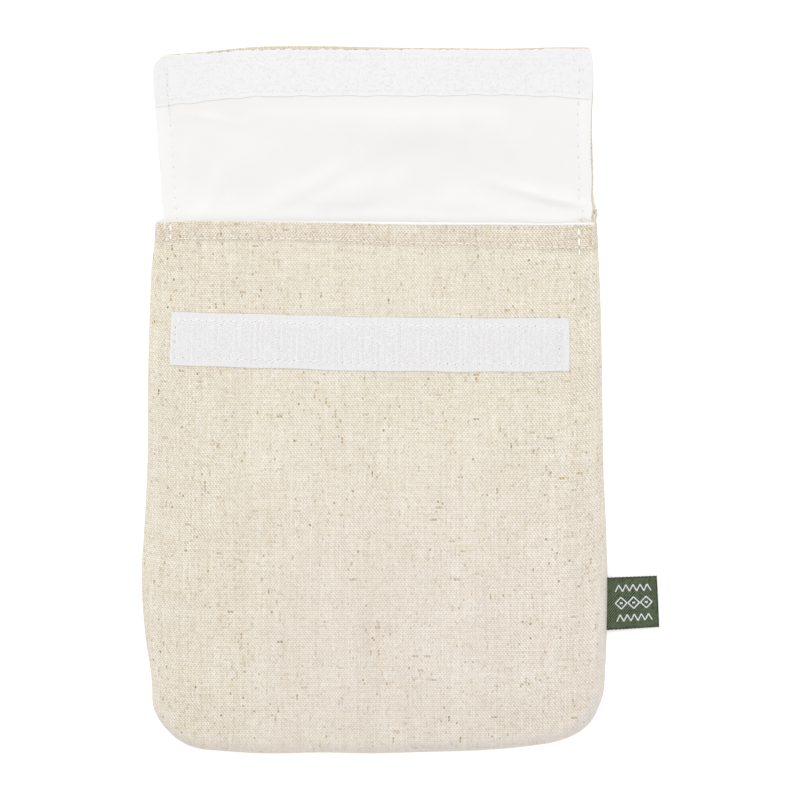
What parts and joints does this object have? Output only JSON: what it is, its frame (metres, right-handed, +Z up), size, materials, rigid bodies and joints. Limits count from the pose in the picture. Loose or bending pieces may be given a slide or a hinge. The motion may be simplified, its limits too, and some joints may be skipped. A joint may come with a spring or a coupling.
{
  "type": "linen bread bag",
  "caption": "Flat linen pouch with a waterproof lining and a long fold-over flap, closed by hook and loop tape, lying open on its back.",
  "frame": {"origin": "middle of the footprint, at the underside of the back panel, on the surface that the bag lies on", "axes": "+X to the right seen from above, +Y from the pouch's bottom to the flap's end, +Z up from the back to the front"},
  "size_m": [0.2476, 0.3388, 0.0156],
  "materials": {
    "linen": "plain weave, natural, uneven yarns with darker flecks",
    "linen_front": "plain weave, natural, uneven yarns with darker flecks",
    "film": "smooth white coated cloth, slight sheen",
    "film_front": "smooth white coated cloth, slight sheen",
    "hook_tape": "white hook tape with woven edges",
    "loop_tape": "white brushed loop pile",
    "side_label": "green woven ribbon with a white pattern"
  },
  "bodies": {
    "root": {"back_panel": "linen", "front_panel": "linen_front", "back_lining": "film", "front_lining": "film_front", "hook_tape": "hook_tape", "loop_tape": "loop_tape", "side_label": "side_label"}
  },
  "joints": []
}
